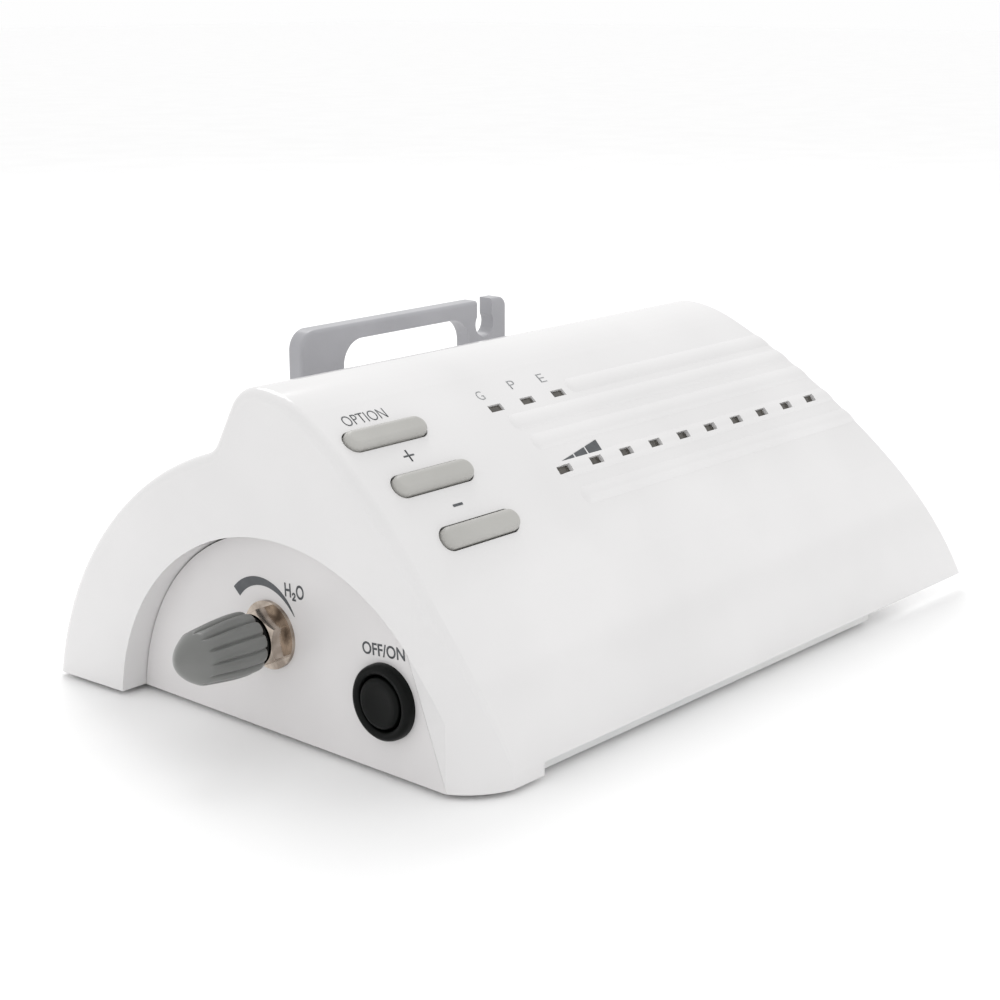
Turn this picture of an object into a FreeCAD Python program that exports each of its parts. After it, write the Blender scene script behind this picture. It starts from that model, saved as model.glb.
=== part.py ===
"""Table-top ultrasonic scaler console: moulded cover, base, keys, power switch, water valve and works.

Bench axes while building: X to the right along the console, Y to the rear, Z up, table at Z = 0.
At the end every part is moved so that the origin is the middle of the footprint, on the table.
"""
import FreeCAD, Part
import math
import os

from FreeCAD import Base

V = FreeCAD.Vector
X_AXIS, Y_AXIS, Z_AXIS = V(1, 0, 0), V(0, 1, 0), V(0, 0, 1)
os.makedirs("parts", exist_ok=True)

# ---------------------------------------------------------------- driving dimensions (mm)
WALL = 2.4                    # moulded wall of the covers
FIT = 0.3                     # air between parts that only sit close together

CREST_Y, CREST_Z = 66.0, 92.6     # top line of the console
CREST_R = 28.0                    # front rounding of the top
PANEL_R = 134.0                   # long gentle curve of the key panel
SKIRT_R = 86.0                    # lower front, turning down to the table
PANEL_TOP_SLOPE = 33.0            # degrees from level where the panel curve starts
PANEL_LOW_SLOPE = 58.8            # degrees from level where the skirt curve starts
SKIRT_END_SLOPE = 86.8
BACK_R = 10.0                     # rounding behind the crest
BACK_SLOPE = 62.0                 # fall from the crest down to the rear hump
HUMP_Y, HUMP_Z, HUMP_R = 55.3, -15.2, 93.2    # rear hump, a round back that ends low at the rear
STEP_R = 8.0                      # hollow rounding between crest and hump

LEFT_X = -5.5                     # left end face at the front
LEFT_TAPER = 0.0555               # it runs outwards towards the rear
RAKE_X, RAKE_SLOPE = 229.5, 0.6415    # right end: X at table level, and how fast it leans in
CORNER_R = 20.0                   # front left corner, seen from above
EDGE_R = 2.6                      # rounding between the left end and the panel
COVER_LOW_Z = 1.5
COVER_FRONT_Z = 5.0               # the front edge stands above the base
FRONT_STEP_X = 20.0               # left of here the cover reaches down to COVER_LOW_Z

ARCH_Y, ARCH_Z, ARCH_R = 61.4, -4.0, 58.9    # arched opening in the left end
PANEL_FACE_X = -4.2               # outer face of the side control panel
PANEL_T = 2.5
SEAM_GAP, SEAM_Y, SEAM_LEAN = 0.1, 6.2, 0.39    # front edge of the side panel: Y at table level, lean

BASE_LEN, BASE_FRONT_Y, BASE_REAR_Y = 176.0, 0.0, 141.0
BASE_LOW_Z = 1.2
BASE_T = 2.4
BASE_RIM_Z = 10.0
BASE_CORNER_R = 16.6
FOOT_R, FOOT_H = 8.0, 3.0
CONNECTOR_X = 170.0               # inner face of the connector panel under the right visor
BAY_TOP_Z = 36.0                  # ceiling of the bay where the leads plug in
VISOR_DEPTH = 6.5                 # the raked wall above the bay lies this far inside the right end

KNOB_Y, KNOB_Z = 67.6, 27.9       # water valve axis
KNOB_BASE_X, KNOB_NOSE_X = -11.9, -35.1
KNOB_BASE_R, KNOB_MID_R, KNOB_NOSE_R = 7.4, 8.1, 6.3
KNOB_SOLID = 8.0                  # the nose is solid over this length, and the spindle ends there
NUT_AF, NUT_T = 13.5, 5.0
WASHER_R, WASHER_T = 9.0, 1.0
SPINDLE_R, NECK_R = 2.0, 3.95

SWITCH_Y, SWITCH_Z = 26.5, 20.2   # power switch axis
SWITCH_BEZEL_R, SWITCH_BEZEL_T = 9.7, 2.0
SWITCH_CAP_R = 6.6
SWITCH_BODY_R = 7.9
SWITCH_TRAVEL = 2.0

KEY_LEN, KEY_W = 27.0, 5.8
KEY_PROUD = 2.0
KEY_TRAVEL = 0.8
KEYS = (("option", 11.6, 38.0), ("plus", 16.3, 44.5), ("minus", 21.4, 51.4))  # name, middle X, slope

LED_PITCH, LED_COUNT = 12.9, 10
LED_FIRST_X, LED_SLOPE = 60.6, 47.6
MODE_LED_FIRST_X, MODE_LED_PITCH, MODE_LED_SLOPE = 52.4, 12.6, 38.0
LED_W, LED_H = 5.0, 2.3
RIBS = ((82.5, 37.4), (53.1, 40.4), (55.4, 43.5), (58.8, 47.6), (61.2, 51.2))  # left end X, slope
RIB_W, RIB_H, RIB_END_X = 5.0, 0.5, 195.0

HOLDER_Y, HOLDER_DEPTH = 90.0, 4.8
HOLDER_LEFT_X, HOLDER_RIGHT_X, HOLDER_TOP_Z = 29.4, 112.0, 98.4
HOLDER_CORNER_R, HOLDER_END_R, HOLDER_ARRIS_R = 5.5, 2.8, 1.0
SCREW_CORE_R, HOLDER_SCREW_DEPTH = 1.2, 32.0
WINDOW_LEFT_X, WINDOW_RIGHT_X, WINDOW_TOP_Z, WINDOW_R = 45.0, 95.5, 94.0, 7.0
NOTCH_X, NOTCH_W, SEAT_R, SEAT_DROP = 102.3, 6.4, 3.9, 7.0    # slot, with a round seat below its mouth
HOLDER_SCREWS = ((35.0, HOLDER_Y + HOLDER_DEPTH / 2), (97.4, HOLDER_Y + HOLDER_DEPTH / 2))

FOOT_SPOTS = ((9.0, 9.6), (160.0, 9.6), (9.0, 124.0), (160.0, 124.0))
BOSS_SPOTS = ((32, 10, 30), (92, 10, 30), (150, 10, 30), (14, 112, 42), (90, 127, 32), (150, 130, 30))
POST_SPOTS = ((46, 40.0), (46, 53.0), (118, 41.0), (168, 53.0))    # X and slope
POST_DEPTH = 11.6

BOARD_GAP = 13.0              # panel surface to the face of the display board
BOARD_SLOPE = 46.0            # the flat display board lies parallel to the panel at this slope
BOARD_MID_X = 98.0
BOARD_TOP_Z, BOARD_T = 13.6, 1.6    # upper face and thickness of the main board
BOARD_HOLES = ((25, 27), (127, 27), (25, 82), (127, 82))

SOCKETS = {"inlet": (118.0, 14.0), "foot": (92.0, 20.0), "mains": (58.0, 22.0), "gland": (22.0, 22.0)}
SPIGOT_R = 3.0                # push-on hose tail for the water supply
SOLENOID_X, SOLENOID_Y, SOLENOID_Z = 128.0, 118.0, 8.0
HOSE_R, HOSE_BORE_R, HOSE_BEND = 3.2, 2.25, 9.0
TAIL_R = 2.2                  # hose tails inside the console
VALVE_BACK_X = PANEL_FACE_X + PANEL_T + 24


# ---------------------------------------------------------------- small shape helpers
def box(x0, y0, z0, x1, y1, z1):
    return Part.makeBox(x1 - x0, y1 - y0, z1 - z0, V(x0, y0, z0))


def rod(x, y, z, radius, length, axis=Z_AXIS):
    return Part.makeCylinder(radius, length, V(x, y, z), axis)


def ring(x, y, z, outer, inner, length, axis=Z_AXIS):
    return rod(x, y, z, outer, length, axis).cut(rod(x, y, z, inner, length, axis))


def hexagon(x, y, z, across_flats, length, axis):
    radius = across_flats / math.sqrt(3.0)
    points = [V(radius * math.cos(math.radians(60 * k)), radius * math.sin(math.radians(60 * k)), 0)
              for k in range(7)]
    prism = Part.Face(Part.makePolygon(points)).extrude(V(0, 0, length))
    prism.Placement = Base.Placement(V(x, y, z), Base.Rotation(Z_AXIS, axis))
    return prism


def turned(points, x, y, z, axis):
    """Solid of revolution from (radius, height) points, with its height along axis."""
    wire = Part.makePolygon([V(r, 0, h) for r, h in points] + [V(points[0][0], 0, points[0][1])])
    solid = Part.Face(wire).revolve(V(0, 0, 0), Z_AXIS, 360)
    solid.Placement = Base.Placement(V(x, y, z), Base.Rotation(Z_AXIS, axis))
    return solid


def slot_bar(length, width, height, round_over=0.0):
    """Bar with round ends, along X, centred, standing on Z = 0."""
    half = length / 2 - width / 2
    bar = box(-half, -width / 2, 0, half, width / 2, height)
    for x in (-half, half):
        bar = bar.fuse(rod(x, 0, 0, width / 2, height))
    bar = bar.removeSplitter()
    if round_over:
        top = [e for e in bar.Edges if e.BoundBox.ZMin > height - 0.01]
        bar = bar.makeFillet(round_over, top)
    return bar


def group(shapes):
    return Part.makeCompound(shapes)


def fuse_all(shapes):
    return shapes[0].multiFuse(shapes[1:]).removeSplitter()


def tube(points, radius, bend_radius, bore=0.0):
    """Round tube along straight runs that are joined by tangent arcs."""
    edges = []
    start = points[0]
    for i in range(1, len(points) - 1):
        to_here = (points[i] - points[i - 1]).normalize()
        onward = (points[i + 1] - points[i]).normalize()
        turn = to_here.getAngle(onward)
        back = bend_radius * math.tan(turn / 2)
        enter = points[i] - to_here * back
        leave = points[i] + onward * back
        bisector = (onward - to_here).normalize()
        centre = points[i] + bisector * (bend_radius / math.cos(turn / 2))
        middle = centre - bisector * bend_radius
        edges.append(Part.LineSegment(start, enter).toShape())
        edges.append(Part.Arc(enter, middle, leave).toShape())
        start = leave
    edges.append(Part.LineSegment(start, points[-1]).toShape())
    path = Part.Wire(edges)
    heading = (points[1] - points[0]).normalize()

    def sweep(r):
        section = Part.Wire([Part.Circle(points[0], heading, r).toShape()])
        return path.makePipeShell([section], True, True)

    solid = sweep(radius)
    return solid.cut(sweep(bore)) if bore else solid


# ---------------------------------------------------------------- the panel's curve
def outward(slope):
    a = math.radians(slope)
    return V(0, -math.sin(a), math.cos(a))


CREST_CENTRE = V(0, CREST_Y, CREST_Z - CREST_R)
PANEL_CENTRE = CREST_CENTRE + outward(PANEL_TOP_SLOPE) * (CREST_R - PANEL_R)
SKIRT_CENTRE = PANEL_CENTRE + outward(PANEL_LOW_SLOPE) * (PANEL_R - SKIRT_R)


def on_panel(shape, x, slope, lift=0.0):
    """Put a shape that was made flat on Z = 0 onto the curved panel at this X and slope."""
    place = PANEL_CENTRE + outward(slope) * (PANEL_R + lift) + V(x, 0, 0)
    moved = shape.copy()
    moved.Placement = Base.Placement(place, Base.Rotation(X_AXIS, slope)).multiply(shape.Placement)
    return moved


def arc(centre, radius, slope_a, slope_b):
    points = [centre + outward(s) * radius for s in (slope_a, (slope_a + slope_b) / 2, slope_b)]
    return Part.Arc(*points).toShape()


def outline_face(inset, low_z):
    """Side view of the front part, from the skirt over the crest to the fall behind it."""
    skirt = arc(SKIRT_CENTRE, SKIRT_R - inset, SKIRT_END_SLOPE, PANEL_LOW_SLOPE)
    panel = arc(PANEL_CENTRE, PANEL_R - inset, PANEL_LOW_SLOPE, PANEL_TOP_SLOPE)
    crest = arc(CREST_CENTRE, CREST_R - inset, PANEL_TOP_SLOPE, 0)
    back_centre = V(0, CREST_Y, CREST_Z - BACK_R)
    back = arc(back_centre, BACK_R - inset, 0, -BACK_SLOPE)
    skirt_end = SKIRT_CENTRE + outward(SKIRT_END_SLOPE) * (SKIRT_R - inset)
    fall_start = back_centre + outward(-BACK_SLOPE) * (BACK_R - inset)
    fall = V(0, math.cos(math.radians(BACK_SLOPE)), -math.sin(math.radians(BACK_SLOPE)))
    fall_end = fall_start + fall * 22.0
    corners = [fall_end, V(0, fall_end.y, low_z), V(0, skirt_end.y, low_z), skirt_end]
    lines = [Part.LineSegment(fall_start, fall_end).toShape()]
    lines += [Part.LineSegment(a, b).toShape() for a, b in zip(corners, corners[1:])]
    return Part.Face(Part.Wire(Part.__sortEdges__([skirt, panel, crest, back] + lines)))


def plan_prism(inset, low_z, high_z):
    """Seen from above: tapered left end, rounded front left corner, straight front and rear."""
    front = (SKIRT_CENTRE + outward(SKIRT_END_SLOPE) * SKIRT_R).y + inset - 0.6
    rear = 150.0
    right = 240.0
    left_front = LEFT_X - LEFT_TAPER * front + inset
    left_rear = LEFT_X - LEFT_TAPER * rear + inset
    corners = [V(left_front, front, low_z), V(right, front, low_z),
               V(right, rear, low_z), V(left_rear, rear, low_z)]
    prism = Part.Face(Part.makePolygon(corners + corners[:1])).extrude(V(0, 0, high_z - low_z))
    edge = [e for e in prism.Edges
            if abs(e.BoundBox.XMin - left_front) < 0.01 and abs(e.BoundBox.YMax - front) < 0.01
            and e.BoundBox.ZLength > 1]
    return prism.makeFillet(CORNER_R - inset, edge)


def body_block(inset, low_z, right_x):
    """The console's outer block, or its cavity when inset is the wall."""
    length = right_x + 30.0
    front = outline_face(inset, low_z).extrude(V(length, 0, 0))
    front.translate(V(-30, 0, 0))
    hump = rod(-30, HUMP_Y, HUMP_Z, HUMP_R - inset, length, X_AXIS)
    hump = hump.common(box(-30, CREST_Y, low_z, right_x, 160, 120))
    block = front.fuse(hump).removeSplitter()
    return block.common(plan_prism(inset, low_z, 120))


def rake_cutter(shift=0.0):
    """Everything to the right of the leaning right end."""
    points = [V(RAKE_X + shift + 10 * RAKE_SLOPE, -40, -10),
              V(RAKE_X + shift - 120 * RAKE_SLOPE, -40, 120),
              V(400, -40, 120), V(400, -40, -10)]
    return Part.Face(Part.makePolygon(points + points[:1])).extrude(V(0, 240, 0))


def edges_near_step(block):
    """The hollow edge where the fall behind the crest meets the hump."""
    picked = []
    for e in block.Edges:
        b = e.BoundBox
        if b.XLength > 50 and b.YLength < 0.5 and b.ZLength < 0.5 and 76 < b.YMin < 90 and b.ZMin > 60:
            picked.append(e)
    return picked


def left_rim_edges(block):
    """Edges of the left end face along the skirt, panel and crest."""
    picked = []
    for e in block.Edges:
        b = e.BoundBox
        if b.XMax < 26 and b.XLength < 25 and b.YLength > 1 and b.ZLength > 1 and b.ZMax > 20:
            picked.append(e)
    return picked


# ---------------------------------------------------------------- covers and base
def outer_block():
    block = body_block(0.0, COVER_LOW_Z, 240.0)
    block = block.makeFillet(STEP_R, edges_near_step(block))
    block = block.makeFillet(EDGE_R, left_rim_edges(block))
    return block.cut(rake_cutter())


def key_hole(length, width):
    hole = slot_bar(length, width, 12)
    hole.translate(V(0, 0, -7))
    return hole


def panel_windows(width, height, deep, low):
    """Cutting or filling blocks for the level row and the mode row of lights."""
    pane = box(-width / 2, -height / 2, low, width / 2, height / 2, deep)
    level = [on_panel(pane, LED_FIRST_X + k * LED_PITCH, LED_SLOPE) for k in range(LED_COUNT)]
    mode = [on_panel(pane, MODE_LED_FIRST_X + k * MODE_LED_PITCH, MODE_LED_SLOPE) for k in range(3)]
    return level, mode


def rib(left_x, slope):
    """Low rounded band with a round end, which runs along the panel to the right end."""
    crown_r = (RIB_W ** 2 / 4 + RIB_H ** 2) / (2 * RIB_H)
    core = PANEL_CENTRE + outward(slope) * (PANEL_R + RIB_H - crown_r)
    end_x = left_x + RIB_W / 2
    band = rod(end_x, core.y, core.z, crown_r, RIB_END_X - end_x, X_AXIS)
    band = band.fuse(Part.makeSphere(crown_r, V(end_x, core.y, core.z)))
    skin = ring(left_x, PANEL_CENTRE.y, PANEL_CENTRE.z, PANEL_R + 2 * RIB_H, PANEL_R - WALL / 4,
                RIB_END_X - left_x, X_AXIS)
    return band.common(skin).cut(rake_cutter())


def screw_boss(x, y, top_z):
    return ring(x, y, BASE_LOW_Z + BASE_T + FIT, 3.6, 1.3, top_z - BASE_LOW_Z - BASE_T - FIT)


def behind_seam(shift=0.0):
    """Everything behind the leaning line where the side panel meets the cover's front corner."""
    low, high = -10.0, 100.0
    points = [V(-40, SEAM_Y + SEAM_LEAN * low + shift, low), V(-40, SEAM_Y + SEAM_LEAN * high + shift, high),
              V(-40, 170, high), V(-40, 170, low)]
    return Part.Face(Part.makePolygon(points + points[:1])).extrude(V(80, 0, 0))


def arch(radius, x0, x1):
    return rod(x0, ARCH_Y, ARCH_Z, radius, x1 - x0, X_AXIS)


def display_posts(radius, low, high):
    return [on_panel(rod(0, 0, low, radius, high - low), x, slope) for x, slope in POST_SPOTS]


def top_cover(block):
    corner_fill = box(-30, -40, -10, PANEL_FACE_X + PANEL_T + 0.6, 22, 120)
    cavity = body_block(WALL, -5.0, 240.0).cut(corner_fill)
    shell = block.cut(cavity)
    shell = shell.cut(box(FRONT_STEP_X, -40, -10, 260, 160, COVER_FRONT_Z))
    collar = arch(ARCH_R + WALL, -30, 1.5).cut(arch(ARCH_R, -30, 1.5)).common(block)
    pocket = arch(ARCH_R, -30, PANEL_FACE_X)
    opening = arch(ARCH_R, -30, 1.5).common(behind_seam())
    shell = fuse_all([shell, collar] + [rib(x, s) for x, s in RIBS])
    shell = shell.cut(pocket).cut(opening)
    inside = body_block(WALL / 2, 0, 240)
    bosses = [screw_boss(x, y, top).fuse(box(x - 1, y - 1, top, x + 1, y + 1, 100)).common(inside)
              for x, y, top in BOSS_SPOTS]
    posts = [post.common(inside) for post in display_posts(2.6, -POST_DEPTH, 0)]
    shell = fuse_all([shell] + bosses + posts)
    for post_bore in display_posts(1.0, -POST_DEPTH - 1, -4.0):
        shell = shell.cut(post_bore)
    level, mode = panel_windows(LED_W, LED_H, 6, -9)
    for cutter in level + mode:
        shell = shell.cut(cutter)
    for _, x, slope in KEYS:
        shell = shell.cut(on_panel(key_hole(KEY_LEN + 0.9, KEY_W + 0.9), x, slope))
    for x, y in HOLDER_SCREWS:
        shell = shell.cut(rod(x, y, 50, 1.7, 40))
    return shell


def base_prism(inset, low_z, high_z):
    r = BASE_CORNER_R - inset
    x0, x1 = -1.4 + inset, CONNECTOR_X - FIT - inset
    y0, y1 = BASE_FRONT_Y + inset, BASE_REAR_Y - inset
    prism = box(x0, y0, low_z, x1, y1, high_z)
    upright = [e for e in prism.Edges if e.BoundBox.ZLength > 0.5 and e.BoundBox.XMax < x0 + 0.1]
    return prism.makeFillet(r, [e for e in upright if e.BoundBox.YMax < y0 + 0.1])


def base_tray():
    tray = base_prism(0, BASE_LOW_Z, BASE_RIM_Z).cut(base_prism(2.0, BASE_LOW_Z + BASE_T, BASE_RIM_Z + 1))
    tail = box(CONNECTOR_X - FIT - 1, BASE_FRONT_Y, BASE_LOW_Z, BASE_LEN, BASE_REAR_Y, BASE_LOW_Z + BASE_T)
    tray = tray.fuse(tail).removeSplitter()
    tray = tray.cut(box(CONNECTOR_X - 8, -5, BASE_LOW_Z + BASE_T, 200, 160, 20))
    tray = tray.cut(arch(ARCH_R + WALL + FIT, -30, 1.5 + FIT).cut(arch(ARCH_R - FIT, -30, 10)))
    for x, y, _ in BOSS_SPOTS:
        tray = tray.cut(rod(x, y, 0, 1.8, 8)).cut(rod(x, y, 0, 3.4, BASE_LOW_Z + 0.9))
    for x in range(50, 140, 8):
        tray = tray.cut(box(x, 55, 0, x + 3, 95, BASE_LOW_Z + BASE_T + 1))
    for x, y in FOOT_SPOTS:
        tray = tray.cut(rod(x, y, 0, FOOT_R - 1.5, FOOT_H))
    return tray.cut(body_block(0.0, -5, 240).cut(body_block(WALL + FIT, -5, 240)))


def rubber_feet():
    feet = []
    for x, y in FOOT_SPOTS:
        pad = Part.makeCone(FOOT_R - 1.0, FOOT_R, BASE_LOW_Z, V(x, y, 0))
        feet.append(pad.fuse(rod(x, y, BASE_LOW_Z, FOOT_R - 1.6, FOOT_H - BASE_LOW_Z)).removeSplitter())
    return group(feet)


def pan_screw(x, y, z, axis, shank_r, shank_len, head_r, head_t):
    """Screw whose head's underside is at (x, y, z); the shank goes along axis."""
    shank = rod(x, y, z, shank_r, shank_len, axis)
    head_base = V(x, y, z) - axis * head_t
    head = Part.makeCylinder(head_r, head_t, head_base, axis)
    cross = Part.makeCylinder(0.9, head_t * 0.6, head_base, axis)
    return head.fuse(shank).removeSplitter().cut(cross)


def base_screws():
    z = BASE_LOW_Z + 0.9
    return group([pan_screw(x, y, z, Z_AXIS, 1.25, 10, 3.0, 0.7) for x, y, _ in BOSS_SPOTS])


def side_panel(block):
    """Half-round plate inside the left arch, with the valve and the power switch on it."""
    plate = arch(ARCH_R - FIT, PANEL_FACE_X, PANEL_FACE_X + PANEL_T).common(block)
    plate = plate.common(behind_seam(SEAM_GAP))
    plate = plate.cut(rod(PANEL_FACE_X - 5, KNOB_Y, KNOB_Z, 4.2, 15, X_AXIS))
    return plate.cut(rod(PANEL_FACE_X - 5, SWITCH_Y, SWITCH_Z, SWITCH_BODY_R + 0.1, 15, X_AXIS))


def rake_x(z):
    return RAKE_X - RAKE_SLOPE * z


def connector_panel():
    """Upright wall with the sockets, a ceiling over them, and a wall parallel to the raked end."""
    x0, x1 = CONNECTOR_X, CONNECTOR_X + PANEL_T
    back = VISOR_DEPTH + PANEL_T / math.cos(math.atan(RAKE_SLOPE))
    top = 100.0
    points = [V(x0, -10, BASE_LOW_Z + BASE_T), V(x0, -10, BAY_TOP_Z + PANEL_T),
              V(rake_x(BAY_TOP_Z + PANEL_T) - back, -10, BAY_TOP_Z + PANEL_T),
              V(rake_x(top) - back, -10, top),
              V(rake_x(top) - VISOR_DEPTH, -10, top), V(rake_x(BAY_TOP_Z) - VISOR_DEPTH, -10, BAY_TOP_Z),
              V(x1, -10, BAY_TOP_Z), V(x1, -10, BASE_LOW_Z + BASE_T)]
    plate = Part.Face(Part.makePolygon(points + points[:1])).extrude(V(0, 170, 0))
    plate = plate.common(body_block(WALL + FIT, 0, 240.0))
    level, _ = panel_windows(LED_W, LED_H, 0, -9)
    plate = plate.cut(level[-1])
    for name, radius in (("inlet", 5.1), ("foot", 6.1), ("gland", 6.6)):
        y, z = SOCKETS[name]
        plate = plate.cut(rod(CONNECTOR_X - 5, y, z, radius, 15, X_AXIS))
    y, z = SOCKETS["mains"]
    return plate.cut(box(CONNECTOR_X - 5, y - 12.2, z - 8.2, CONNECTOR_X + 10, y + 12.2, z + 8.2))


# ---------------------------------------------------------------- handpiece holder
def upper_corner(block, at_x):
    """The block's upper edge along Y at this X."""
    return [e for e in block.Edges if e.BoundBox.YLength > 1 and e.BoundBox.ZMin > HOLDER_TOP_Z - 0.1
            and abs(e.BoundBox.XMin - at_x) < 0.1]


def holder_plate():
    """Upright plate with rounded upper corners, before the window and the slot are cut."""
    plate = box(HOLDER_LEFT_X, HOLDER_Y, 60, HOLDER_RIGHT_X, HOLDER_Y + HOLDER_DEPTH, HOLDER_TOP_Z)
    plate = plate.makeFillet(HOLDER_CORNER_R, upper_corner(plate, HOLDER_LEFT_X))
    return plate.makeFillet(HOLDER_END_R, upper_corner(plate, HOLDER_RIGHT_X))


def handpiece_holder():
    y0, y1 = HOLDER_Y, HOLDER_Y + HOLDER_DEPTH
    plate = holder_plate()
    front = [e for e in plate.Edges if e.BoundBox.YMax < y0 + 0.01 and e.BoundBox.ZMax > 61]
    plate = plate.makeFillet(HOLDER_ARRIS_R, front)
    window = box(WINDOW_LEFT_X, y0 - 1, 50, WINDOW_RIGHT_X, y1 + 1, WINDOW_TOP_Z)
    arris = [e for e in window.Edges if e.BoundBox.YLength > 5 and e.BoundBox.ZMin > WINDOW_TOP_Z - 0.1]
    plate = plate.cut(window.makeFillet(WINDOW_R, arris))
    seat_z = HOLDER_TOP_Z - SEAT_DROP
    slot = rod(NOTCH_X, y0 - 1, seat_z, SEAT_R, HOLDER_DEPTH + 2, Y_AXIS)
    slot = slot.fuse(box(NOTCH_X - NOTCH_W / 2, y0 - 1, seat_z, NOTCH_X + NOTCH_W / 2, y1 + 1, 120))
    plate = plate.cut(slot)
    seat = body_block(-FIT, 0, 240.0)
    plate = plate.cut(seat.makeFillet(STEP_R + FIT, edges_near_step(seat)))
    for x, y in HOLDER_SCREWS:
        plate = plate.cut(rod(x, y, 50, SCREW_CORE_R, HOLDER_SCREW_DEPTH))
    return plate


def holder_screws():
    screws = []
    for x, y in HOLDER_SCREWS:
        under = HUMP_Z + math.sqrt((HUMP_R - WALL) ** 2 - (y + 3.0 - HUMP_Y) ** 2) - 0.6
        screws.append(pan_screw(x, y, under, Z_AXIS, 1.15, 9, 2.8, 1.6))
    return group(screws)


# ---------------------------------------------------------------- keys
def key_cap():
    cap = slot_bar(KEY_LEN, KEY_W, KEY_PROUD + 3.0, 1.6)
    cap.translate(V(0, 0, -3.0))
    flange = slot_bar(KEY_LEN + 3.0, KEY_W + 3.0, 1.2)
    flange.translate(V(0, 0, -4.2))
    stem = rod(0, 0, -6.0, 1.6, 2.0)
    return fuse_all([cap, flange, stem])


def display_plate(low, high, half_up, x0, x1):
    plate = box(x0 - BOARD_MID_X, -half_up, low, x1 - BOARD_MID_X, half_up, high)
    plate = on_panel(plate, BOARD_MID_X, BOARD_SLOPE, -BOARD_GAP).cut(rake_cutter(-VISOR_DEPTH - 5))
    for hole in display_posts(1.2, -BOARD_GAP - 5, -BOARD_GAP + 5):
        plate = plate.cut(hole)
    return plate


def board_depth(slope):
    """Distance from the panel's surface at this slope down to the board's face."""
    return PANEL_R - (PANEL_R - BOARD_GAP) / math.cos(math.radians(slope - BOARD_SLOPE))


def tact_switch_bodies():
    bodies = []
    for _, x, slope in KEYS:
        depth = board_depth(slope)
        body = box(-3, -3, -depth + 0.6, 3, 3, -8.1)
        bodies.append(on_panel(body.cut(rod(0, 0, -9.5 - KEY_TRAVEL, 1.7, 4)), x, slope))
    return group(bodies)


def tact_plunger():
    return rod(0, 0, -9.2, 1.5, 3.0)


def light_pipes(first_x, pitch, count, slope):
    pipes = []
    for k in range(count):
        head = box(-LED_W / 2 + 0.1, -LED_H / 2 + 0.1, -8.5, LED_W / 2 - 0.1, LED_H / 2 - 0.1, -0.7)
        pipes.append(on_panel(head, first_x + k * pitch, slope))
    return group(pipes)


def led_chips(first_x, pitch, count, slope):
    chips = []
    for k in range(count):
        chip = box(-1.6, -0.8, -board_depth(slope) + 0.3, 1.6, 0.8, -8.9)
        chips.append(on_panel(chip, first_x + k * pitch, slope))
    return group(chips)


# ---------------------------------------------------------------- power switch
def switch_bezel():
    x = PANEL_FACE_X
    collar = turned([(SWITCH_CAP_R + 0.5, 0), (SWITCH_BEZEL_R, 0), (SWITCH_BEZEL_R, 0.9),
                     (SWITCH_BEZEL_R - 1.0, SWITCH_BEZEL_T), (SWITCH_CAP_R + 0.9, SWITCH_BEZEL_T),
                     (SWITCH_CAP_R + 0.5, SWITCH_BEZEL_T - 0.5)], x, SWITCH_Y, SWITCH_Z, V(-1, 0, 0))
    barrel = ring(x, SWITCH_Y, SWITCH_Z, SWITCH_BODY_R, SWITCH_CAP_R + 0.5, 9, X_AXIS)
    back = rod(x + 9, SWITCH_Y, SWITCH_Z, SWITCH_BODY_R, 12, X_AXIS)
    pocket = rod(x + 8, SWITCH_Y, SWITCH_Z, 3.4, 8, X_AXIS)
    return fuse_all([collar, barrel, back]).cut(pocket)


def switch_cap():
    x = PANEL_FACE_X + 2.4 + SWITCH_TRAVEL
    face = turned([(0, 0), (SWITCH_CAP_R, 0), (SWITCH_CAP_R, 6.6), (SWITCH_CAP_R - 1.0, 7.5), (0, 7.0)],
                  x, SWITCH_Y, SWITCH_Z, V(-1, 0, 0))
    stem = rod(x, SWITCH_Y, SWITCH_Z, 1.6, 6.0, X_AXIS)
    return face.fuse(stem).removeSplitter()


def coil_spring(x, y, z, radius, wire_r, pitch, turns, axis):
    """Spring of tilted half rings, which meet without a kink."""
    sweep_r = math.hypot(radius, pitch / 4)
    halves = []
    for k in range(2 * turns):
        side = 1 if k % 2 == 0 else -1
        along = V(side * radius, 0, -pitch / 4).normalize()
        across = V(0, side, 0)
        half = Part.makeTorus(sweep_r, wire_r, V(0, 0, 0), Z_AXIS, 0, 360, 180)
        turn = Base.Rotation(along, across, along.cross(across), "ZXY")
        half.Placement = Base.Placement(V(0, 0, pitch / 4 + k * pitch / 2), turn)
        halves.append(half)
    spring = fuse_all(halves)
    spring.Placement = Base.Placement(V(x, y, z), Base.Rotation(Z_AXIS, axis))
    return spring


def switch_terminals():
    x = PANEL_FACE_X + 21
    return group([box(x, SWITCH_Y - 0.4 + dy, SWITCH_Z - 2.4, x + 7, SWITCH_Y + 0.4 + dy, SWITCH_Z + 2.4)
                  for dy in (-4, 4)])


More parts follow.
